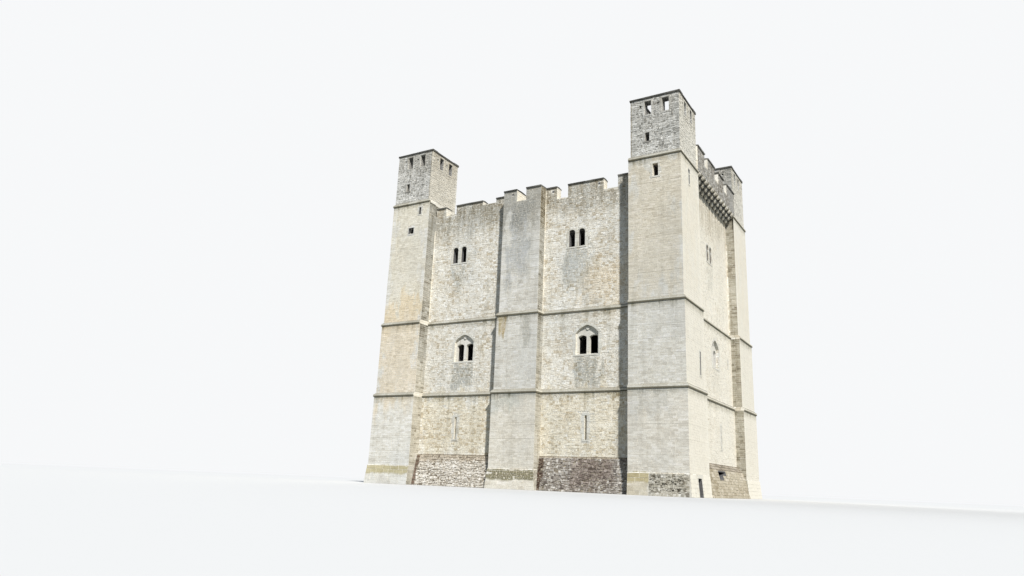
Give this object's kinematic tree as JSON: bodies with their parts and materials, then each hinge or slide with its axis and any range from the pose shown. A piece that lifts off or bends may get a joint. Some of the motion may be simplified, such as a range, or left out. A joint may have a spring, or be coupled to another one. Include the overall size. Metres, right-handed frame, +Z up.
{
  "type": "castle keep",
  "caption": "Square stone keep with corner turrets, mid-side buttresses, pointed hall windows, notched parapets and corbelled walkways at the short sides.",
  "frame": {"origin": "on the ground, at the middle of the plan", "axes": "+X along the long front, to the right as seen from outside; +Y from the front to the rear; +Z up"},
  "size_m": [21.96, 15.72, 23.28],
  "materials": {
    "coursed_rubble": "matte",
    "ashlar": "matte",
    "weathered_rubble": "matte",
    "coping_stone": "matte",
    "foundation_rubble": "matte",
    "corbel_stone": "matte",
    "window_stone": "matte",
    "floor_boards": "matte",
    "terrace_flags": "matte"
  },
  "bodies": {
    "root": {"first_floor": "floor_boards", "front_batter_blocks": "foundation_rubble", "front_buttress": "ashlar", "front_ground_wall": "coursed_rubble", "front_hall_wall": "coursed_rubble", "front_hall_windows": "window_stone", "front_left_turret_coping": "coping_stone", "front_left_turret_shaft": "ashlar", "front_left_turret_top_stage": "weathered_rubble", "front_parapet": "coursed_rubble", "front_right_turret_coping": "coping_stone", "front_right_turret_shaft": "ashlar", "front_right_turret_top_stage": "weathered_rubble", "front_upper_wall": "coursed_rubble", "left_batter_block": "foundation_rubble", "left_corbel_table": "corbel_stone", "left_ground_wall": "coursed_rubble", "left_hall_wall": "coursed_rubble", "left_hall_windows": "window_stone", "left_parapet": "corbel_stone", "left_upper_wall": "coursed_rubble", "rear_batter_blocks": "foundation_rubble", "rear_buttress": "ashlar", "rear_ground_wall": "coursed_rubble", "rear_hall_wall": "coursed_rubble", "rear_hall_windows": "window_stone", "rear_left_turret_coping": "coping_stone", "rear_left_turret_shaft": "ashlar", "rear_left_turret_top_stage": "weathered_rubble", "rear_parapet": "coursed_rubble", "rear_right_turret_coping": "coping_stone", "rear_right_turret_shaft": "ashlar", "rear_right_turret_top_stage": "weathered_rubble", "rear_upper_wall": "coursed_rubble", "right_batter_block": "foundation_rubble", "right_corbel_table": "corbel_stone", "right_ground_wall": "coursed_rubble", "right_hall_wall": "coursed_rubble", "right_hall_windows": "window_stone", "right_parapet": "corbel_stone", "right_upper_wall": "coursed_rubble", "roof_terrace": "terrace_flags", "second_floor": "floor_boards"}
  },
  "joints": []
}
